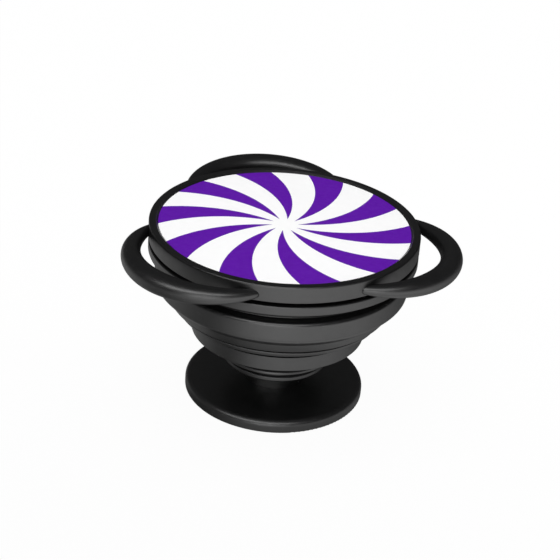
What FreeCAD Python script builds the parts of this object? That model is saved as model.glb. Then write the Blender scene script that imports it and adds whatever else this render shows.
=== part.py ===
import FreeCAD, Part
import os
import re

import Sketcher

# Phone grip: a three-loop head that spins on a ball bearing, over a collapsible bellows.
# Frame: millimetres, +Z up, origin at the centre of the sticky face, one loop along +Y.

SIZES = (
    # Base disc and its sticky pad
    ("base_r", 14.7),
    ("base_t", 2.05),
    ("base_top_round", 0.9),
    ("base_foot_round", 0.2),
    ("boss_h", 1.5),
    ("pad_margin", 1.3),
    ("pad_fit", 0.1),
    ("pad_t", 0.8),
    ("pad_proud", 0.15),
    # Bellows: foot, neck, six walls that step outwards on slanted webs, cap and collar
    ("bellows_wall", 1.0),
    ("bond_gap", 0.05),
    ("foot_step", 0.8),
    ("foot_h", 0.4),
    ("foot_slope_h", 0.4),
    ("neck_r", 4.8),
    ("neck_h", 2.4),
    ("ring_low_step", 3.8),
    ("ring_low_rise", 1.54),
    ("ring_low_h", 0.68),
    ("ring_mid_step", 1.3),
    ("ring_mid_rise", 1.39),
    ("ring_mid_h", 0.4),
    ("band_low_step", 4.2),
    ("band_low_rise", 2.79),
    ("band_low_h", 2.5),
    ("band_low_flare", 0.15),
    ("lip_step", 2.35),
    ("lip_rise", 1.6),
    ("lip_h", 1.0),
    ("lip_flare", 0.5),
    ("slope_step", 0.7),
    ("slope_rise", 0.6),
    ("slope_h", 2.2),
    ("slope_flare", 1.7),
    ("band_high_step", 0.9),
    ("band_high_rise", 0.9),
    ("band_high_h", 3.3),
    ("band_high_flare", -0.15),
    ("hinge_in", 0.35),
    ("hinge_h", 0.18),
    ("cap_t", 0.8),
    ("cap_round", 1.0),
    ("collar_in", 1.7),
    ("collar_h", 1.77),
    # Carrier plate: the lower half of the head, which doesn't spin
    ("carrier_t", 1.5),
    ("carrier_round", 0.2),
    ("spigot_wall", 1.2),
    ("spigot_h", 1.4),
    ("well_gap", 0.45),
    ("well_wall", 1.0),
    ("well_floor_t", 1.0),
    ("shoulder_h", 0.55),
    ("shoulder_out", 0.8),
    ("post_short", 0.1),
    ("post_fit", 0.01),
    # Ball bearing with a quarter-inch bore and a half-inch outside
    ("bore_r", 3.175),
    ("bearing_r", 6.35),
    ("bearing_w", 3.175),
    ("ball_r", 0.79375),
    ("ball_count", 10),
    ("groove_gap", 0.026),
    ("groove_depth", 0.28),
    ("cage_gap", 0.1),
    ("cage_over", 0.45),
    ("cage_under", 0.38),
    ("pocket_gap", 0.05),
    # Screw and washer that clamp the inner race to the post
    ("washer_r", 4.0),
    ("washer_t", 0.4),
    ("screw_r", 1.1),
    ("screw_in", 3.0),
    ("screw_head_r", 2.2),
    ("screw_head_h", 1.1),
    ("screw_head_round", 0.35),
    ("screw_head_room", 0.6),
    ("slot_w", 0.5),
    ("slot_h", 0.6),
    ("thread_gap", 0.02),
    ("pilot_over", 0.3),
    # Spinner: rim, web and hub in one moulding with three loops
    ("head_gap", 0.61),
    ("rim_w", 1.45),
    ("rim_lip", 0.35),
    ("rim_top_round", 0.35),
    ("rim_foot_round", 0.2),
    ("web_t", 1.47),
    ("hub_wall", 1.5),
    ("seat_fit", 0.01),
    ("seat_lip", 0.65),
    ("loop_count", 3),
    ("loop_inset", 6.28),
    ("loop_r", 11.86),
    ("loop_tube_r", 1.7),
    ("loop_rise", 1.07),
    ("loop_sink", 0.6),
    ("loop_clear", 0.3),
    # Printed face with its swirl of curved blades
    ("face_r", 20.0),
    ("face_fit", 0.05),
    ("face_t", 0.8),
    ("glue_t", 0.15),
    ("print_t", 0.1),
    ("blade_count", 10),
    ("blade_tip_r", 2.0),
    ("blade_lead_turn", 17.2),
    ("blade_trail_turn", 35.2),
    ("blade_lead_arc", 22.2),
    ("blade_trail_arc", 21.1),
    ("swirl_turn", -3.7),
)
NAMES = {name for name, number in SIZES}

# Walls of the bellows from the neck outwards, and those with a hinge groove over them
WALLS = ("ring_low", "ring_mid", "band_low", "lip", "slope", "band_high")
GROOVED = ("ring_low", "ring_mid", "band_low", "lip")

# Which way an outline's arc bulges, with the material on the left of the outline
OUTWARD = -1
INWARD = 1

# How a sketch numbers the ends of an edge, its own axes and its origin
START, END = 1, 2
X_AXIS, Y_AXIS = -1, -2
ORIGIN = (X_AXIS, START)

doc = FreeCAD.newDocument("phone_grip")
sheet = doc.addObject("Spreadsheet::Sheet", "sizes")
for row, (name, number) in enumerate(SIZES, start=1):
    sheet.set(f"A{row}", name)
    sheet.set(f"B{row}", str(number))
    sheet.setAlias(f"B{row}", name)
doc.recompute()


def tied(text):
    """Expression in which each size's name points at its cell."""
    return re.sub(r"[a-z_]+", lambda word: f"sizes.{word[0]}" if word[0] in NAMES else word[0], text)


def value(text):
    return float(sheet.evalExpression(tied(text)))


def bellows_walls():
    """Foot and head of each bellows wall as (foot_r, foot_z, head_r, head_z)."""
    r = "neck_r"
    z = f"({BASE_TOP} + neck_h)"
    walls = []
    for name in WALLS:
        foot_r = f"({r} + {name}_step)"
        foot_z = f"({z} + {name}_rise)"
        flare = f"{name}_flare"
        r = f"({foot_r} + {flare})" if flare in NAMES else foot_r
        z = f"({foot_z} + {name}_h)"
        walls.append((foot_r, foot_z, r, z))
    return walls


# Places worked out from the sizes: heights from the sticky face upwards, then radii
BASE_TOP = "(pad_proud + base_t)"
BELLOWS = bellows_walls()
CAP_R, CAP_TOP = BELLOWS[-1][2:]
COLLAR_TOP = f"({CAP_TOP} + collar_h)"
CARRIER_Z = f"({COLLAR_TOP} + bond_gap)"
CARRIER_TOP = f"({CARRIER_Z} + carrier_t)"
SPINNER_Z = f"({CARRIER_TOP} + head_gap)"
WEB_TOP = f"({SPINNER_Z} + web_t)"
FACE_Z = f"({WEB_TOP} + glue_t)"
FACE_TOP = f"({FACE_Z} + face_t)"
RIM_TOP = f"({FACE_TOP} + rim_lip)"
HEAD_TOP = f"({WEB_TOP} - screw_head_room)"
WASHER_TOP = f"({HEAD_TOP} - screw_head_h)"
BEARING_TOP = f"({WASHER_TOP} - washer_t)"
BEARING_Z = f"({BEARING_TOP} - bearing_w)"
BALL_Z = f"({BEARING_TOP} - bearing_w / 2)"
WELL_Z = f"({BEARING_Z} - shoulder_h)"
SCREW_Z = f"({BEARING_TOP} - screw_in)"
POST_TOP = f"({BEARING_TOP} - post_short)"

NECK_IN = "(neck_r - bellows_wall)"
COLLAR_R = f"({CAP_R} - collar_in)"
COLLAR_IN = f"({COLLAR_R} - bellows_wall)"
SPIGOT_R = f"({COLLAR_IN} - bond_gap)"
PAD_SEAT_R = "(base_r - pad_margin)"
RECESS_R = "(face_r + face_fit)"
RIM_R = f"({RECESS_R} + rim_w)"
SEAT_R = "(bearing_r + seat_fit)"
SEAT_LIP_R = "(bearing_r - seat_lip)"
HUB_R = f"({SEAT_R} + hub_wall)"
WELL_R = f"({HUB_R} + well_gap)"
PILOT_R = "(screw_r + thread_gap)"
PITCH_R = "((bore_r + bearing_r) / 2)"
GROOVE_R = "(ball_r + groove_gap)"
LAND_IN_R = f"({PITCH_R} - {GROOVE_R} + groove_depth)"
LAND_OUT_R = f"({PITCH_R} + {GROOVE_R} - groove_depth)"
GROOVE_HALF = f"sqrt(groove_depth * (2 * {GROOVE_R} - groove_depth))"


def new_body(name):
    body = doc.addObject("PartDesign::Body", name)
    body.Label = name
    return body


def sketch_on(body, role):
    """Empty sketch on one of the body's own origin planes."""
    plane = next(item for item in body.Origin.OriginFeatures if item.Role == role)
    sketch = body.newObject("Sketcher::SketchObject", f"{body.Name}_sketch")
    sketch.AttachmentSupport = [(plane, "")]
    sketch.MapMode = "FlatFace"
    return sketch


def arc_between(start, end, radius, side):
    """Arc of a given radius that bulges to the left (1) or the right (-1) of the way from start to end."""
    chord = end - start
    sagitta = radius - (radius ** 2 - chord.Length ** 2 / 4) ** 0.5
    left = FreeCAD.Vector(-chord.y, chord.x, 0).normalize()
    return Part.Arc(start, (start + end) / 2 + left * side * sagitta, end)


def outline(sketch, corners):
    """Closed outline tied to the sheet.

    A corner is (across, up), followed by a line, or (across, up, radius, side), followed by an arc.
    """
    places = [FreeCAD.Vector(value(across), value(up), 0) for across, up, *bend in corners]
    ends = []
    for start, end, (across, up, *bend) in zip(places, places[1:] + places[:1], corners):
        if bend:
            radius, side = bend
            curve = arc_between(start, end, value(radius), side)
        else:
            curve = Part.LineSegment(start, end)
        edge = sketch.addGeometry(curve, False)
        start_off = (sketch.getPoint(edge, START) - start).Length
        end_off = (sketch.getPoint(edge, END) - start).Length
        ends.append((edge, START, END) if start_off < end_off else (edge, END, START))
    for place, this, following, (across, up, *bend) in zip(places, ends, ends[1:] + ends[:1], corners):
        edge, first, last = this
        next_edge, next_first, next_last = following
        sketch.addConstraint(Sketcher.Constraint("Coincident", edge, last, next_edge, next_first))
        for kind, axis, text, distance in (
            ("DistanceX", Y_AXIS, across, place.x),
            ("DistanceY", X_AXIS, up, place.y),
        ):
            if text == "0":
                sketch.addConstraint(Sketcher.Constraint("PointOnObject", edge, first, axis))
            else:
                tie = sketch.addConstraint(Sketcher.Constraint(kind, *ORIGIN, edge, first, distance))
                sketch.setExpression(f"Constraints[{tie}]", tied(text))
        if bend:
            radius, side = bend
            tie = sketch.addConstraint(Sketcher.Constraint("Radius", edge, value(radius)))
            sketch.setExpression(f"Constraints[{tie}]", tied(radius))


def turned(name, corners):
    """Body turned about Z from an outline of radii and heights."""
    body = new_body(name)
    sketch = sketch_on(body, "XZ_Plane")
    outline(sketch, corners)
    turn = body.newObject("PartDesign::Revolution", f"{name}_turn")
    turn.Profile = sketch
    turn.ReferenceAxis = (sketch, ["V_Axis"])
    turn.Angle = 360
    return body


def disc(name, radius, low, high):
    return turned(name, [("0", low), (radius, low), (radius, high), ("0", high)])


def ring(name, inner, outer, low, high):
    return turned(name, [(inner, low), (outer, low), (outer, high), (inner, high)])


def cut(name, base, tool):
    result = doc.addObject("Part::Cut", name)
    result.Label = name
    result.Base = base
    result.Tool = tool
    return result


def fused(name, pieces):
    result = doc.addObject("Part::MultiFuse", name)
    result.Label = name
    result.Shapes = pieces
    return result


def place(item, x, y, z):
    for axis, text in (("x", x), ("y", y), ("z", z)):
        item.setExpression(f"Placement.Base.{axis}", tied(text))


def cylinder(name, radius, low, high):
    """Plain cylinder about Z that shapes another piece."""
    item = doc.addObject("Part::Cylinder", name)
    item.setExpression("Radius", tied(radius))
    item.setExpression("Height", tied(f"{high} - {low}"))
    place(item, "0", "0", low)
    return item


def around(count, index, radius):
    """Centre of one of a number of copies spread round Z, counted from +Y, as (x, y)."""
    turn = f"(90 + {index} * 360 / {count})"
    return f"{radius} * cos({turn})", f"{radius} * sin({turn})"


def make_base():
    pad = disc("adhesive_pad", f"({PAD_SEAT_R} - pad_fit)", "0", "pad_t")
    boss_r = f"({NECK_IN} - bond_gap)"
    base = turned("base_disc", [
        ("0", "pad_t"),
        (PAD_SEAT_R, "pad_t"),
        (PAD_SEAT_R, "pad_proud"),
        ("base_r - base_foot_round", "pad_proud", "base_foot_round", OUTWARD),
        ("base_r", "pad_proud + base_foot_round"),
        ("base_r", f"{BASE_TOP} - base_top_round", "base_top_round", OUTWARD),
        ("base_r - base_top_round", BASE_TOP),
        (boss_r, BASE_TOP),
        (boss_r, f"{BASE_TOP} + boss_h"),
        ("0", f"{BASE_TOP} + boss_h"),
    ])
    return [pad, base]


def make_bellows():
    outside = []
    inside = []
    for name, (foot_r, foot_z, head_r, head_z) in zip(WALLS, BELLOWS):
        outside.append((foot_r, foot_z))
        inside.append((f"{foot_r} - bellows_wall", foot_z))
        if name != WALLS[-1]:
            outside.append((head_r, head_z))
            inside.append((f"{head_r} - bellows_wall", head_z))
        if name in GROOVED:
            outside.append((f"{head_r} - hinge_in", f"{head_z} + hinge_h"))
    neck = [
        (NECK_IN, BASE_TOP),
        ("neck_r + foot_step", BASE_TOP),
        ("neck_r + foot_step", f"{BASE_TOP} + foot_h"),
        ("neck_r", f"{BASE_TOP} + foot_h + foot_slope_h"),
        ("neck_r", f"{BASE_TOP} + neck_h"),
    ]
    cap = [
        (CAP_R, f"{CAP_TOP} - cap_round", "cap_round", OUTWARD),
        (f"{CAP_R} - cap_round", CAP_TOP),
        (COLLAR_R, CAP_TOP),
        (COLLAR_R, COLLAR_TOP),
        (COLLAR_IN, COLLAR_TOP),
        (COLLAR_IN, f"{CAP_TOP} - cap_t"),
        (f"{CAP_R} - bellows_wall", f"{CAP_TOP} - cap_t"),
    ]
    neck_inside = [(NECK_IN, f"{BASE_TOP} + neck_h")]
    return [turned("bellows", neck + outside + cap + inside[::-1] + neck_inside)]


def make_carrier():
    """Plate with a spigot for the bellows, a well for the spinner's hub and a post for the bearing."""
    well_out = f"({WELL_R} + well_wall)"
    well_low = f"({WELL_Z} - well_floor_t)"
    shoulder_r = "(bore_r + shoulder_out)"
    post_r = "(bore_r - post_fit)"
    pilot_z = f"({SCREW_Z} - pilot_over)"
    spigot_in = f"({SPIGOT_R} - spigot_wall)"
    spigot_z = f"({CARRIER_Z} - spigot_h)"
    return [turned("carrier_plate", [
        ("0", well_low),
        (well_out, well_low),
        (well_out, CARRIER_Z),
        (spigot_in, CARRIER_Z),
        (spigot_in, spigot_z),
        (SPIGOT_R, spigot_z),
        (SPIGOT_R, CARRIER_Z),
        (f"{RIM_R} - carrier_round", CARRIER_Z, "carrier_round", OUTWARD),
        (RIM_R, f"{CARRIER_Z} + carrier_round"),
        (RIM_R, f"{CARRIER_TOP} - carrier_round", "carrier_round", OUTWARD),
        (f"{RIM_R} - carrier_round", CARRIER_TOP),
        (WELL_R, CARRIER_TOP),
        (WELL_R, WELL_Z),
        (shoulder_r, WELL_Z),
        (shoulder_r, BEARING_Z),
        (post_r, BEARING_Z),
        (post_r, POST_TOP),
        (PILOT_R, POST_TOP),
        (PILOT_R, pilot_z),
        ("0", pilot_z),
    ])]


def spheres(name, radius):
    """Group of spheres at the bearing's ball centres."""
    balls = []
    for index in range(int(value("ball_count"))):
        ball = doc.addObject("Part::Sphere", f"{name}_{index}")
        ball.setExpression("Radius", tied(radius))
        place(ball, *around("ball_count", index, PITCH_R), BALL_Z)
        balls.append(ball)
    group = doc.addObject("Part::Compound", name)
    group.Label = name
    group.Links = balls
    return group


def make_bearing():
    groove_low = f"({BALL_Z} - {GROOVE_HALF})"
    groove_high = f"({BALL_Z} + {GROOVE_HALF})"
    inner = turned("bearing_inner_race", [
        ("bore_r", BEARING_Z),
        (LAND_IN_R, BEARING_Z),
        (LAND_IN_R, groove_low, GROOVE_R, INWARD),
        (LAND_IN_R, groove_high),
        (LAND_IN_R, BEARING_TOP),
        ("bore_r", BEARING_TOP),
    ])
    outer = turned("bearing_outer_race", [
        (LAND_OUT_R, BEARING_Z),
        ("bearing_r", BEARING_Z),
        ("bearing_r", BEARING_TOP),
        (LAND_OUT_R, BEARING_TOP),
        (LAND_OUT_R, groove_high, GROOVE_R, INWARD),
        (LAND_OUT_R, groove_low),
    ])
    balls = spheres("bearing_balls", "ball_r")
    blank = ring(
        "cage_blank",
        f"{LAND_IN_R} + cage_gap",
        f"{LAND_OUT_R} - cage_gap",
        f"{BALL_Z} - cage_under",
        f"{BALL_Z} + ball_r + cage_over",
    )
    pockets = spheres("cage_pockets", "ball_r + pocket_gap")
    return [inner, outer, balls, cut("bearing_cage", blank, pockets)]


def make_fastener():
    washer = ring("clamp_washer", PILOT_R, "washer_r", BEARING_TOP, WASHER_TOP)
    blank = turned("screw_blank", [
        ("0", SCREW_Z),
        ("screw_r", SCREW_Z),
        ("screw_r", WASHER_TOP),
        ("screw_head_r", WASHER_TOP),
        ("screw_head_r", f"{HEAD_TOP} - screw_head_round", "screw_head_round", OUTWARD),
        ("screw_head_r - screw_head_round", HEAD_TOP),
        ("0", HEAD_TOP),
    ])
    slot = doc.addObject("Part::Box", "screw_slot")
    slot.setExpression("Length", tied("2 * screw_head_r"))
    slot.setExpression("Width", tied("slot_w"))
    slot.setExpression("Height", tied("slot_h"))
    place(slot, "-screw_head_r", "-slot_w / 2", f"{HEAD_TOP} - slot_h")
    return [washer, cut("clamp_screw", blank, slot)]


def make_spinner():
    """Rim, web and hub turned in one piece, with a round loop standing out of the rim on three sides.

    Each loop ends inside the rim, and its underside is cut back where it passes over the carrier.
    """
    wheel = turned("spinner_wheel", [
        (SEAT_R, BEARING_Z),
        (HUB_R, BEARING_Z),
        (HUB_R, SPINNER_Z),
        (f"{RIM_R} - rim_foot_round", SPINNER_Z, "rim_foot_round", OUTWARD),
        (RIM_R, f"{SPINNER_Z} + rim_foot_round"),
        (RIM_R, f"{RIM_TOP} - rim_top_round", "rim_top_round", OUTWARD),
        (f"{RIM_R} - rim_top_round", RIM_TOP),
        (f"{RECESS_R} + rim_lip", RIM_TOP),
        (RECESS_R, FACE_TOP),
        (RECESS_R, WEB_TOP),
        (SEAT_LIP_R, WEB_TOP),
        (SEAT_LIP_R, BEARING_TOP),
        (SEAT_R, BEARING_TOP),
    ])
    low = f"({SPINNER_Z} - loop_tube_r)"
    inside = cylinder("loop_inside", f"{RIM_R} - loop_sink", low, f"{RIM_TOP} + loop_tube_r")
    below = cylinder("loop_below", f"{RIM_R} + loop_clear", low, f"{CARRIER_TOP} + loop_clear")
    trim = fused("loop_trim", [inside, below])
    pieces = [wheel]
    for index in range(int(value("loop_count"))):
        hoop = doc.addObject("Part::Torus", f"hoop_{index}")
        hoop.setExpression("Radius1", tied("loop_r"))
        hoop.setExpression("Radius2", tied("loop_tube_r"))
        x, y = around("loop_count", index, f"({RIM_R} - loop_inset)")
        place(hoop, x, y, f"{SPINNER_Z} + loop_rise")
        pieces.append(cut(f"loop_{index}", hoop, trim))
    return [fused("spinner_body", pieces)]


def make_face():
    """Face disc with the swirl's blades let into its top, one colour on the other."""
    glue = disc("face_adhesive", "face_r", WEB_TOP, FACE_Z)
    swirl = new_body("swirl_print")
    swirl.AllowCompound = True
    sketch = sketch_on(swirl, "XY_Plane")
    outline(sketch, [
        ("blade_tip_r", "0", "blade_lead_arc", OUTWARD),
        ("face_r * cos(blade_lead_turn)", "face_r * sin(blade_lead_turn)", "face_r", OUTWARD),
        ("face_r * cos(blade_trail_turn)", "face_r * sin(blade_trail_turn)", "blade_trail_arc", INWARD),
    ])
    blade = swirl.newObject("PartDesign::Pad", "blade")
    blade.Profile = sketch
    blade.setExpression("Length", tied("print_t"))
    doc.recompute()
    blades = swirl.newObject("PartDesign::PolarPattern", "blades")
    blades.Originals = [blade]
    blades.Axis = (sketch, ["N_Axis"])
    blades.Angle = 360
    blades.setExpression("Occurrences", tied("blade_count"))
    swirl.Tip = blades
    swirl.Placement.Rotation = FreeCAD.Rotation(FreeCAD.Vector(0, 0, 1), value("swirl_turn"))
    swirl.setExpression("Placement.Base.z", tied(f"{FACE_TOP} - print_t"))
    swirl.setExpression("Placement.Rotation.Angle", tied("swirl_turn"))
    blank = disc("face_blank", "face_r", FACE_Z, FACE_TOP)
    return [glue, swirl, cut("face_disc", blank, swirl)]


def checked(parts):
    """Stop if any object failed or any sub-part isn't a sound solid."""
    doc.recompute()
    for item in doc.Objects:
        if "Invalid" in item.State or "Error" in item.State:
            raise RuntimeError(f"{item.Name} failed: {item.State}")
    for part in parts:
        if part.Shape.isNull() or not part.Shape.isValid() or part.Shape.Volume <= 0:
            raise RuntimeError(f"{part.Label} isn't a sound solid")
    return parts


MAKERS = (make_base, make_bellows, make_carrier, make_bearing, make_fastener, make_spinner, make_face)
subparts = checked([part for maker in MAKERS for part in maker()])
os.makedirs("parts", exist_ok=True)
for part in subparts:
    part.Shape.exportStep(f"parts/{part.Label}.step")
    print(f"{part.Label}: {len(part.Shape.Solids)} solids, {part.Shape.Volume:.2f} mm3")
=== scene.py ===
import math

import bpy
from mathutils import Matrix, Vector


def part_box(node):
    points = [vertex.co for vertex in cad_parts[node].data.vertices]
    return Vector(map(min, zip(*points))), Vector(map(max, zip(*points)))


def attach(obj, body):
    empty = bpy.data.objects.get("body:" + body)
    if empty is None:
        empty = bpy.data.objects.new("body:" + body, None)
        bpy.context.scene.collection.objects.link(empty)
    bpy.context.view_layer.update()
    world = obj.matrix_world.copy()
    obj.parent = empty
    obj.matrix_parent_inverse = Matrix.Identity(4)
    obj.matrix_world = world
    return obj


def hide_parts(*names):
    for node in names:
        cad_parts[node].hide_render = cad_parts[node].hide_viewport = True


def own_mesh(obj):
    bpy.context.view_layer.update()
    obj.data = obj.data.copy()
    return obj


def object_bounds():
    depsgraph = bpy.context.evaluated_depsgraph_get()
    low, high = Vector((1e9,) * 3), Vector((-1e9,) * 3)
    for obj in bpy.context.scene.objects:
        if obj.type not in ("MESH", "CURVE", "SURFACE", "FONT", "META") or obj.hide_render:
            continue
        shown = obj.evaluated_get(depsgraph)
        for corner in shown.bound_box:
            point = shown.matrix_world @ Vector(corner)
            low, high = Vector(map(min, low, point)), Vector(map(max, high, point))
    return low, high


# Phone grip: looks of the base, the folding bellows and the spinning head with its printed face. Sizes are
# in millimetres, and MM turns them into Blender's metres.
MM = 0.001

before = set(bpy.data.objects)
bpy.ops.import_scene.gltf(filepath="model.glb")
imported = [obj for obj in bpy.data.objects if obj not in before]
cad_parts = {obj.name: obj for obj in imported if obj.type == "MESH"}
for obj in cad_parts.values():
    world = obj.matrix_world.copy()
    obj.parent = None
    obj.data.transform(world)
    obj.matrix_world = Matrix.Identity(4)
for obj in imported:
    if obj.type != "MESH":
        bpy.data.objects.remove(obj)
cad_low, cad_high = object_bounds()


# Node helpers for the materials. Most of a noise lies between NOISE_LOW and NOISE_HIGH.
NOISE_LOW = 0.3
NOISE_HIGH = 0.7


def new_material(name):
    """New node material, as (material, tree, principled shader)."""
    material = bpy.data.materials.new(name)
    material.use_nodes = True
    tree = material.node_tree
    return material, tree, tree.nodes["Principled BSDF"]


def noise(tree, size_mm, detail=2.0, stretch=(1.0, 1.0, 1.0)):
    """Noise whose grains are about size_mm across, in the piece's own coordinates."""
    place = tree.nodes.new("ShaderNodeTexCoord")
    scaled = tree.nodes.new("ShaderNodeMapping")
    scaled.inputs["Scale"].default_value = stretch
    texture = tree.nodes.new("ShaderNodeTexNoise")
    texture.inputs["Scale"].default_value = 1.0 / (size_mm * MM)
    texture.inputs["Detail"].default_value = detail
    tree.links.new(place.outputs["Object"], scaled.inputs["Vector"])
    tree.links.new(scaled.outputs["Vector"], texture.inputs["Vector"])
    return texture.outputs["Fac"]


def cells(tree, size_mm):
    """Distance to the nearest of many scattered cell centres, about size_mm apart."""
    place = tree.nodes.new("ShaderNodeTexCoord")
    texture = tree.nodes.new("ShaderNodeTexVoronoi")
    texture.inputs["Scale"].default_value = 1.0 / (size_mm * MM)
    tree.links.new(place.outputs["Object"], texture.inputs["Vector"])
    return texture.outputs["Distance"]


def tint(tree, shader, value, dark, light):
    """Base colour that wanders between two close tones."""
    ramp = tree.nodes.new("ShaderNodeValToRGB")
    ramp.color_ramp.elements[0].position = NOISE_LOW
    ramp.color_ramp.elements[1].position = NOISE_HIGH
    ramp.color_ramp.elements[0].color = (*dark, 1.0)
    ramp.color_ramp.elements[1].color = (*light, 1.0)
    tree.links.new(value, ramp.inputs["Fac"])
    tree.links.new(ramp.outputs["Color"], shader.inputs["Base Color"])


def rough(tree, shader, value, low, high):
    """Roughness that wanders between low and high."""
    node = tree.nodes.new("ShaderNodeMapRange")
    node.inputs["From Min"].default_value = NOISE_LOW
    node.inputs["From Max"].default_value = NOISE_HIGH
    node.inputs["To Min"].default_value = low
    node.inputs["To Max"].default_value = high
    tree.links.new(value, node.inputs["Value"])
    tree.links.new(node.outputs["Result"], shader.inputs["Roughness"])


def bump(tree, shader, value, depth_mm):
    """Fine relief, depth_mm high."""
    node = tree.nodes.new("ShaderNodeBump")
    node.inputs["Distance"].default_value = depth_mm * MM
    node.inputs["Strength"].default_value = 1.0
    tree.links.new(value, node.inputs["Height"])
    tree.links.new(node.outputs["Normal"], shader.inputs["Normal"])


# Materials
BLACK_IOR = 2.0
PRINT_IOR = 1.4


def black_plastic():
    """Moulded black plastic: semi-gloss, with the fine grain that the mould leaves."""
    material, tree, shader = new_material("black_plastic")
    shader.inputs["IOR"].default_value = BLACK_IOR
    tint(tree, shader, noise(tree, 3.0), dark=(0.003, 0.003, 0.0031), light=(0.0045, 0.0045, 0.0046))
    rough(tree, shader, noise(tree, 1.2), low=0.33, high=0.39)
    bump(tree, shader, noise(tree, 0.18, detail=3.0), depth_mm=0.0003)
    return material


def bellows_rubber():
    """Satin black elastomer with a soft uneven sheen."""
    material, tree, shader = new_material("bellows_rubber")
    shader.inputs["IOR"].default_value = BLACK_IOR
    tint(tree, shader, noise(tree, 2.5), dark=(0.003, 0.003, 0.0031), light=(0.0052, 0.0052, 0.0053))
    rough(tree, shader, noise(tree, 1.6), low=0.28, high=0.36)
    bump(tree, shader, noise(tree, 0.22, detail=3.0), depth_mm=0.0006)
    return material


def pad_foam():
    """Closed-cell foam of the sticky pad."""
    material, tree, shader = new_material("pad_foam")
    tint(tree, shader, cells(tree, 0.25), dark=(0.05, 0.05, 0.055), light=(0.09, 0.09, 0.095))
    rough(tree, shader, noise(tree, 0.6), low=0.75, high=0.9)
    bump(tree, shader, cells(tree, 0.25), depth_mm=0.05)
    return material


def bearing_steel():
    """Ground bearing steel with fine turning lines round the axis."""
    material, tree, shader = new_material("bearing_steel")
    shader.inputs["Metallic"].default_value = 1.0
    tint(tree, shader, noise(tree, 1.5), dark=(0.66, 0.67, 0.69), light=(0.76, 0.77, 0.79))
    rough(tree, shader, noise(tree, 0.5), low=0.10, high=0.18)
    bump(tree, shader, noise(tree, 0.4, stretch=(1.0, 1.0, 12.0)), depth_mm=0.001)
    return material


def cage_brass():
    """Pressed brass of the ball cage."""
    material, tree, shader = new_material("cage_brass")
    shader.inputs["Metallic"].default_value = 1.0
    tint(tree, shader, noise(tree, 0.8), dark=(0.60, 0.43, 0.16), light=(0.74, 0.56, 0.26))
    rough(tree, shader, noise(tree, 0.4), low=0.25, high=0.4)
    bump(tree, shader, noise(tree, 0.15), depth_mm=0.002)
    return material


def screw_steel():
    """Zinc plate with a slightly cloudy finish."""
    material, tree, shader = new_material("screw_steel")
    shader.inputs["Metallic"].default_value = 1.0
    tint(tree, shader, noise(tree, 0.9), dark=(0.52, 0.53, 0.55), light=(0.66, 0.67, 0.70))
    rough(tree, shader, noise(tree, 0.5), low=0.25, high=0.42)
    bump(tree, shader, noise(tree, 0.1), depth_mm=0.002)
    return material


def face_glue():
    """Milky sheet adhesive."""
    material, tree, shader = new_material("face_glue")
    tint(tree, shader, noise(tree, 2.0), dark=(0.70, 0.70, 0.66), light=(0.82, 0.82, 0.79))
    rough(tree, shader, noise(tree, 0.8), low=0.4, high=0.6)
    bump(tree, shader, noise(tree, 0.4), depth_mm=0.01)
    return material


def face_white():
    """White ground of the print, satin, with the faint tooth of a coated sheet."""
    material, tree, shader = new_material("face_white")
    shader.inputs["IOR"].default_value = PRINT_IOR
    tint(tree, shader, noise(tree, 1.5), dark=(0.93, 0.93, 0.932), light=(0.945, 0.945, 0.945))
    rough(tree, shader, noise(tree, 0.8), low=0.45, high=0.55)
    bump(tree, shader, noise(tree, 0.12), depth_mm=0.002)
    return material


def swirl_purple():
    """Purple ink, satin, a shade uneven as a printed field is."""
    material, tree, shader = new_material("swirl_purple")
    shader.inputs["IOR"].default_value = PRINT_IOR
    tint(tree, shader, noise(tree, 1.2), dark=(0.099, 0.006, 0.340), light=(0.107, 0.008, 0.360))
    rough(tree, shader, noise(tree, 0.7), low=0.42, high=0.52)
    bump(tree, shader, noise(tree, 0.12), depth_mm=0.002)
    return material


# Turned meshes. A rounding takes up to ROUND_SHARE of each side of its corner.
ROUND_STEPS = 6
ROUND_SHARE = 0.45
LONG_RUN = 0.3
GUARD = 0.05
SEGMENTS = 256


def rounded(corners):
    """Closed outline with each corner (radius, height, rounding) turned into a curve."""
    points = []
    for index, (radius, height, rounding) in enumerate(corners):
        corner = Vector((radius, height))
        if rounding == 0:
            points.append(corner)
            continue
        before = Vector(corners[index - 1][:2]) - corner
        after = Vector(corners[(index + 1) % len(corners)][:2]) - corner
        half = before.angle(after) / 2
        reach = min(rounding / math.tan(half), ROUND_SHARE * before.length, ROUND_SHARE * after.length)
        start = corner + before.normalized() * reach
        end = corner + after.normalized() * reach
        for step in range(ROUND_STEPS + 1):
            share = step / ROUND_STEPS
            points.append(
                start * (1 - share) ** 2 + corner * 2 * share * (1 - share) + end * share ** 2
            )
    return points


def supported(points, ring=True):
    """Outline with a point close to each end of its long straight runs, so that they shade flat."""
    out = []
    for index, point in enumerate(points):
        run = points[(index + 1) % len(points)] - point
        out.append(point)
        if run.length > LONG_RUN and (ring or index < len(points) - 1):
            out.append(point + run.normalized() * GUARD)
            out.append(point + run - run.normalized() * GUARD)
    return out


def turned(points, segments=SEGMENTS, ring=True):
    """Vertices and faces of an outline of (radius, height) points turned about Z.

    A ring's outline closes on itself. Any other one starts and ends with a flat cap across the axis.
    """
    vertices = []
    faces = []
    count = len(points)
    for segment in range(segments):
        turn = 2 * math.pi * segment / segments
        for point in points:
            vertices.append((
                point.x * MM * math.cos(turn),
                point.x * MM * math.sin(turn),
                point.y * MM,
            ))
    for segment in range(segments):
        here = segment * count
        there = (segment + 1) % segments * count
        for index in range(count if ring else count - 1):
            following = (index + 1) % count
            faces.append((here + index, there + index, there + following, here + following))
    if not ring:
        faces.append(tuple(segment * count for segment in reversed(range(segments))))
        faces.append(tuple(segment * count + count - 1 for segment in range(segments)))
    return vertices, faces


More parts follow.
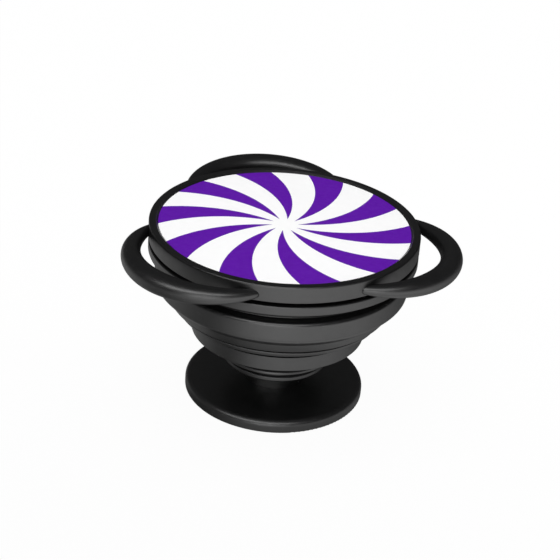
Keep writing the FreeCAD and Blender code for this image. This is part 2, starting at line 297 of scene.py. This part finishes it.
def new_piece(name, shells):
    """Smooth object made of one or more closed shells of (vertices, faces)."""
    vertices = []
    faces = []
    for shell_vertices, shell_faces in shells:
        first = len(vertices)
        vertices.extend(shell_vertices)
        faces.extend(tuple(first + corner for corner in face) for face in shell_faces)
    mesh = bpy.data.meshes.new(name)
    mesh.from_pydata(vertices, [], faces)
    mesh.shade_smooth()
    mesh.update()
    piece = bpy.data.objects.new(name, mesh)
    bpy.context.scene.collection.objects.link(piece)
    return piece


def dress(piece, material):
    piece.data.materials.clear()
    piece.data.materials.append(material)


# Bellows: outside from the foot up, then the inside back down, as (radius, height, rounding)
BELLOWS_FOOT_Z = 2.2
BELLOWS_TOP_Z = 25.27
BELLOWS_OUTSIDE = (
    (4.8, BELLOWS_FOOT_Z, 0.0),
    (4.8, 4.6, 0.6),
    (8.6, 5.97, 0.25),
    (8.55, 6.65, 0.2),
    (8.05, 6.85, 0.05),
    (9.95, 8.02, 0.2),
    (9.85, 8.45, 0.2),
    (9.4, 8.62, 0.05),
    (14.1, 11.4, 0.12),
    (14.25, 13.84, 0.1),
    (13.5, 14.0, 0.05),
    (16.55, 15.45, 0.3),
    (17.05, 16.27, 0.2),
    (16.4, 16.45, 0.05),
    (17.8, 17.02, 0.05),
    (19.2, 19.0, 0.3),
    (20.4, 20.15, 0.9),
    (20.25, 23.35, 0.7),
    (18.55, 23.35, 0.2),
    (18.55, BELLOWS_TOP_Z, 0.0),
)
BELLOWS_INSIDE = (
    (17.55, BELLOWS_TOP_Z, 0.0),
    (17.55, 22.7, 0.2),
    (19.25, 22.7, 0.3),
    (19.4, 20.2, 0.4),
    (18.2, 19.0, 0.4),
    (16.8, 17.02, 0.2),
    (15.9, 16.3, 0.15),
    (15.6, 15.5, 0.15),
    (13.0, 13.8, 0.2),
    (13.1, 11.4, 0.2),
    (8.9, 8.61, 0.12),
    (8.9, 8.21, 0.12),
    (7.6, 6.82, 0.15),
    (7.6, 6.14, 0.2),
    (3.8, 4.6, 0.4),
    (3.8, BELLOWS_FOOT_Z, 0.0),
)


def make_bellows():
    outline = rounded(BELLOWS_OUTSIDE + BELLOWS_INSIDE)
    piece = new_piece("folding_bellows", [turned(supported(outline))])
    dress(piece, bellows_rubber())
    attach(piece, "base")
    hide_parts("bellows")
    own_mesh(piece)


# Pad: its cut edge draws in by PAD_WAIST at half its height
PAD_CAP_R = 0.4
PAD_WAIST = 0.06
PAD_WAIST_ROUND = 0.3
PAD_EDGE_ROUND = 0.06


def make_pad():
    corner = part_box("adhesive_pad")[1] / MM
    outline = rounded((
        (PAD_CAP_R, 0.0, 0.0),
        (corner.x, 0.0, PAD_EDGE_ROUND),
        (corner.x - PAD_WAIST, corner.z / 2, PAD_WAIST_ROUND),
        (corner.x, corner.z, PAD_EDGE_ROUND),
        (PAD_CAP_R, corner.z, 0.0),
    ))
    piece = new_piece("foam_pad", [turned(supported(outline, ring=False), ring=False)])
    dress(piece, pad_foam())
    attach(piece, "base")
    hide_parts("adhesive_pad")


# Head: rim, web and hub turned in one, and loops whose tubes taper from the middle to their ends in the rim
HUB_WALL = 1.5
HUB_ROUND = 0.1
SEAT_FIT = 0.01
SEAT_LIP = 0.65
HEAD_GAP = 0.61
FACE_FIT = 0.05
RECESS_ROUND = 0.05
RIM_LIP = 0.35
RIM_LIP_ROUND = 0.08
RIM_TOP_ROUND = 0.35
RIM_FOOT_ROUND = 0.2
LOOP_COUNT = 3
FIRST_LOOP_ANGLE = 90
LOOP_CENTRE_R = 13.72
LOOP_R = 13.15
LOOP_HALF_ANGLE = 78.0
LOOP_MIDDLE_TUBE_R = 1.76
LOOP_END_TUBE_R = 0.67
LOOP_STEPS = 72
LOOP_SIDES = 40


def wheel_outline():
    """Outline of the head's wheel, from the seat of the bearing out to the rim and back over the web."""
    hub_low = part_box("spinner_body")[0].z / MM
    rim_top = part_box("spinner_body")[1].z / MM
    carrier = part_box("carrier_plate")[1] / MM
    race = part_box("bearing_outer_race")[1] / MM
    web_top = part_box("face_adhesive")[0].z / MM
    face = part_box("face_disc")[1] / MM
    rim_r = carrier.x
    web_low = carrier.z + HEAD_GAP
    seat_r = race.x + SEAT_FIT
    hub_r = seat_r + HUB_WALL
    lip_r = race.x - SEAT_LIP
    recess_r = face.x + FACE_FIT
    return rounded((
        (seat_r, hub_low, 0.0),
        (hub_r, hub_low, HUB_ROUND),
        (hub_r, web_low, HUB_ROUND),
        (rim_r, web_low, RIM_FOOT_ROUND),
        (rim_r, rim_top, RIM_TOP_ROUND),
        (recess_r + RIM_LIP, rim_top, RIM_LIP_ROUND),
        (recess_r, face.z, RECESS_ROUND),
        (recess_r, web_top, RECESS_ROUND),
        (lip_r, web_top, RECESS_ROUND),
        (lip_r, race.z, 0.0),
        (seat_r, race.z, 0.0),
    ))


def loop_shell(turn):
    """Closed tube of one loop, bent round a centre between the axis and the rim, its ends inside the rim."""
    middle_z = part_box("spinner_body")[1].z / MM - LOOP_MIDDLE_TUBE_R
    facing = Matrix.Rotation(turn, 3, "Z")
    vertices = []
    faces = []
    for step in range(LOOP_STEPS + 1):
        share = 2 * step / LOOP_STEPS - 1
        bend = share * math.radians(LOOP_HALF_ANGLE)
        tube_r = LOOP_END_TUBE_R + (LOOP_MIDDLE_TUBE_R - LOOP_END_TUBE_R) * (1 - share ** 2)
        for side in range(LOOP_SIDES):
            roll = 2 * math.pi * side / LOOP_SIDES
            reach = LOOP_R + tube_r * math.cos(roll)
            point = Vector((
                LOOP_CENTRE_R + reach * math.cos(bend),
                reach * math.sin(bend),
                middle_z + tube_r * math.sin(roll),
            ))
            vertices.append(facing @ point * MM)
    for step in range(LOOP_STEPS):
        here = step * LOOP_SIDES
        there = here + LOOP_SIDES
        for side in range(LOOP_SIDES):
            following = (side + 1) % LOOP_SIDES
            faces.append((here + side, there + side, there + following, here + following))
    last = LOOP_STEPS * LOOP_SIDES
    faces.append(tuple(range(LOOP_SIDES)))
    faces.append(tuple(last + side for side in reversed(range(LOOP_SIDES))))
    return vertices, faces


def make_head(plastic):
    shells = [turned(supported(wheel_outline()))]
    for index in range(LOOP_COUNT):
        shells.append(loop_shell(math.radians(FIRST_LOOP_ANGLE + 360 * index / LOOP_COUNT)))
    piece = new_piece("spinning_head", shells)
    dress(piece, plastic)
    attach(piece, "spinner")
    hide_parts("spinner_body")


def dress_nodes(plastic):
    """Materials of the solids that keep their own meshes."""
    steel = bearing_steel()
    screw = screw_steel()
    finishes = {
        "base_disc": plastic,
        "carrier_plate": plastic,
        "bearing_inner_race": steel,
        "bearing_outer_race": steel,
        "bearing_balls": steel,
        "bearing_cage": cage_brass(),
        "clamp_washer": screw,
        "clamp_screw": screw,
        "face_adhesive": face_glue(),
        "face_disc": face_white(),
        "swirl_print": swirl_purple(),
    }
    for node, material in finishes.items():
        dress(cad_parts[node], material)


# Camera, as fitted to the outlines of the face, the rim and the base in the photograph
PHOTO_PX = 560
FOCAL_PX = 1500
CAMERA_AZIMUTH = -13.03
CAMERA_ELEVATION = 27.98
CAMERA_ROLL = 4.333
CAMERA_DISTANCE = 241.654
CAMERA_AIM = (-0.149, 0.034, 19.889)
SENSOR_WIDTH = 36.0
NEAREST = 10
FARTHEST = 10000


def make_camera():
    camera = bpy.data.cameras.new("camera")
    camera.sensor_width = SENSOR_WIDTH
    camera.lens = FOCAL_PX / PHOTO_PX * SENSOR_WIDTH
    camera.clip_start = NEAREST * MM
    camera.clip_end = FARTHEST * MM
    viewer = bpy.data.objects.new("camera", camera)
    bpy.context.scene.collection.objects.link(viewer)
    viewer.matrix_world = (
        Matrix.Translation(Vector(CAMERA_AIM) * MM)
        @ Matrix.Rotation(math.radians(CAMERA_AZIMUTH), 4, "Z")
        @ Matrix.Rotation(math.radians(90 - CAMERA_ELEVATION), 4, "X")
        @ Matrix.Rotation(math.radians(CAMERA_ROLL), 4, "Z")
        @ Matrix.Translation((0, 0, CAMERA_DISTANCE * MM))
    )
    bpy.context.scene.camera = viewer


# Floor: white to the camera, and swept up at its rim. What mirror-like rays see of it is a painted pool of
# light in front of the part, with painted shade under the part and to its sides. FLOOR_OUT gives its painted
# level by the distance from the part's axis, and FLOOR_ROUND by the degrees to the right of the camera's
# side. Half of FLOOR_OUT's ramp lies within FLOOR_OUT_HALF.
FLOOR_FLAT_R = 1200.0
FLOOR_RIM_R = 2000.0
FLOOR_RIM_Z = 500.0
FLOOR_THICKNESS = 5.0
FLOOR_HOLE_R = 0.001
FLOOR_STEPS = 12
FLOOR_SEGMENTS = 96
FLOOR_PAINT = (0.9, 0.9, 0.9, 1.0)
FLOOR_GLOW = 0.97
FLOOR_OUT_HALF = 100.0
# Painted levels by distance: painted shade under the part, a painted pool of light further out, fading far
# away.
FLOOR_OUT = (
    (0, 0.1),
    (12, 0.2),
    (20, 0.52),
    (32, 0.8),
    (42, 0.64),
    (52, 0.72),
    (62, 0.88),
    (72, 1.0),
    (150, 1.0),
    (250, 0.8),
    (500, 0.38),
    (2000, 0.1),
)
# Painted levels round the part: a painted pool of light in front, painted shade to the sides and behind.
FLOOR_ROUND = (
    (-180, 0.06),
    (-120, 0.45),
    (-85, 0.42),
    (-67, 0.24),
    (-50, 0.19),
    (-33, 0.46),
    (-20, 0.8),
    (0, 1.0),
    (30, 0.95),
    (60, 0.82),
    (80, 0.58),
    (100, 0.33),
    (120, 0.17),
    (150, 0.06),
    (180, 0.06),
)


def arithmetic(tree, operation, *values):
    """Math node whose inputs are sockets or plain numbers."""
    node = tree.nodes.new("ShaderNodeMath")
    node.operation = operation
    for place, value in enumerate(values):
        if isinstance(value, float):
            node.inputs[place].default_value = value
        else:
            tree.links.new(value, node.inputs[place])
    return node.outputs[0]


def levels(tree, value, stops):
    """Level that runs through (place, level) stops as the value goes from 0 to 1."""
    node = tree.nodes.new("ShaderNodeValToRGB")
    elements = node.color_ramp.elements
    for place, level in stops[1:-1]:
        elements.new(place)
    for element, (place, level) in zip(elements, stops):
        element.position = place
        element.color = (level, level, level, 1.0)
    tree.links.new(value, node.inputs["Fac"])
    return node.outputs["Color"]


def painted_pool_outwards(tree, place):
    """Painted level of the pool of light by the distance from the part's axis, with painted shade near the
    axis.
    """
    reach = tree.nodes.new("ShaderNodeVectorMath")
    reach.operation = "LENGTH"
    tree.links.new(place, reach.inputs[0])
    out = reach.outputs["Value"]
    beyond = arithmetic(tree, "ADD", out, FLOOR_OUT_HALF * MM)
    return levels(tree, arithmetic(tree, "DIVIDE", out, beyond), [
        (distance / (distance + FLOOR_OUT_HALF), level) for distance, level in FLOOR_OUT
    ])


def painted_pool_around(tree, place):
    """Painted level of the pool of light by the direction from the part's axis: brightest in front, with
    painted shade to the sides and behind.
    """
    facing = tree.nodes.new("ShaderNodeMapping")
    facing.inputs["Rotation"].default_value[2] = math.radians(90 - CAMERA_AZIMUTH)
    tree.links.new(place, facing.inputs["Vector"])
    split = tree.nodes.new("ShaderNodeSeparateXYZ")
    tree.links.new(facing.outputs["Vector"], split.inputs["Vector"])
    angle = arithmetic(tree, "ARCTAN2", split.outputs["Y"], split.outputs["X"])
    share = arithmetic(tree, "MULTIPLY_ADD", angle, 1 / (2 * math.pi), 0.5)
    return levels(tree, share, [((degrees + 180) / 360, level) for degrees, level in FLOOR_ROUND])


def floor_material():
    """Floor that is white to the camera. Mirror-like rays see on it the painted pool of light with its
    painted shade, and it keeps a faint soft shadow.
    """
    material = bpy.data.materials.new("floor_white_painted_pool")
    material.use_nodes = True
    tree = material.node_tree
    tree.nodes.clear()
    output = tree.nodes.new("ShaderNodeOutputMaterial")
    paint = tree.nodes.new("ShaderNodeBsdfDiffuse")
    paint.inputs["Color"].default_value = FLOOR_PAINT
    glow = tree.nodes.new("ShaderNodeEmission")
    path = tree.nodes.new("ShaderNodeLightPath")
    camera_ray = path.outputs["Is Camera Ray"]
    glossy_ray = path.outputs["Is Glossy Ray"]
    clear_ray = path.outputs["Is Transmission Ray"]
    seen = arithmetic(tree, "MAXIMUM", camera_ray, arithmetic(tree, "MAXIMUM", glossy_ray, clear_ray))

    place = tree.nodes.new("ShaderNodeTexCoord").outputs["Object"]
    # Painted pool of light and painted shade, as the glow that mirror-like rays see
    level = arithmetic(tree, "MULTIPLY", painted_pool_outwards(tree, place), painted_pool_around(tree, place))
    tree.links.new(arithmetic(tree, "MAXIMUM", level, camera_ray), glow.inputs["Strength"])
    mix = tree.nodes.new("ShaderNodeMixShader")
    tree.links.new(arithmetic(tree, "MULTIPLY", seen, FLOOR_GLOW), mix.inputs[0])
    tree.links.new(paint.outputs[0], mix.inputs[1])
    tree.links.new(glow.outputs[0], mix.inputs[2])
    tree.links.new(mix.outputs[0], output.inputs["Surface"])
    return material


def make_floor():
    outline = [Vector((FLOOR_HOLE_R, -FLOOR_THICKNESS)), Vector((FLOOR_RIM_R, -FLOOR_THICKNESS))]
    for step in range(FLOOR_STEPS + 1):
        turn = math.pi / 2 * step / FLOOR_STEPS
        outline.append(Vector((
            FLOOR_FLAT_R + (FLOOR_RIM_R - FLOOR_FLAT_R) * math.cos(turn),
            FLOOR_RIM_Z * (1 - math.sin(turn)),
        )))
    outline.append(Vector((FLOOR_HOLE_R, 0.0)))
    floor = new_piece("floor", [turned(outline, FLOOR_SEGMENTS)])
    dress(floor, floor_material())


# Lamps: a high soft sun that lights the face and isn't mirrored, and weak softboxes whose mirror images make
# the streaks on the black edges and loops. A softbox is (name, width, height, watts, degrees to the right of
# the camera's side, elevation).
KEY_STRENGTH = 2.65
KEY_SPREAD = 60
KEY_AZIMUTH = -35
KEY_ELEVATION = 76
KEY_DISTANCE = 600
SOFTBOX_DISTANCE = 500
SOFTBOXES = (
    ("front_low", 320, 150, 0.3, -3, 6),
    ("left_high", 260, 140, 0.27, -46, 36),
    ("front_high", 430, 150, 0.5, 0, 42),
)
ROOM_SHADE = (0.056, 0.056, 0.057, 1.0)


def add_lamp(light, azimuth, elevation, distance):
    """Lamp placed round the middle of the part, pointing there and not seen by the camera."""
    lamp = bpy.data.objects.new(light.name, light)
    bpy.context.scene.collection.objects.link(lamp)
    around = math.radians(azimuth)
    up = math.radians(elevation)
    back = Vector((math.sin(around) * math.cos(up), -math.cos(around) * math.cos(up), math.sin(up)))
    lamp.location = (cad_low + cad_high) / 2 + back * distance * MM
    lamp.rotation_euler = (-back).to_track_quat("-Z", "Y").to_euler()
    lamp.visible_camera = False
    return lamp


def make_lamps():
    key = bpy.data.lights.new("key", "SUN")
    key.energy = KEY_STRENGTH
    key.angle = math.radians(KEY_SPREAD)
    key_lamp = add_lamp(key, KEY_AZIMUTH, KEY_ELEVATION, KEY_DISTANCE)
    key_lamp.visible_glossy = False
    for name, width, height, watts, right, elevation in SOFTBOXES:
        box = bpy.data.lights.new(name, "AREA")
        box.shape = "RECTANGLE"
        box.size = width * MM
        box.size_y = height * MM
        box.energy = watts
        add_lamp(box, CAMERA_AZIMUTH + right, elevation, SOFTBOX_DISTANCE)


def make_room():
    """Dark room round the stage, which the black parts mirror above the floor."""
    world = bpy.data.worlds.new("studio")
    bpy.context.scene.world = world
    world.use_nodes = True
    shade = world.node_tree.nodes["Background"]
    shade.inputs["Color"].default_value = ROOM_SHADE
    shade.inputs["Strength"].default_value = 1.0


moulded = black_plastic()
make_bellows()
make_pad()
make_head(moulded)
dress_nodes(moulded)
make_camera()
make_floor()
make_lamps()
make_room()
bpy.context.scene.view_settings.view_transform = "Standard"
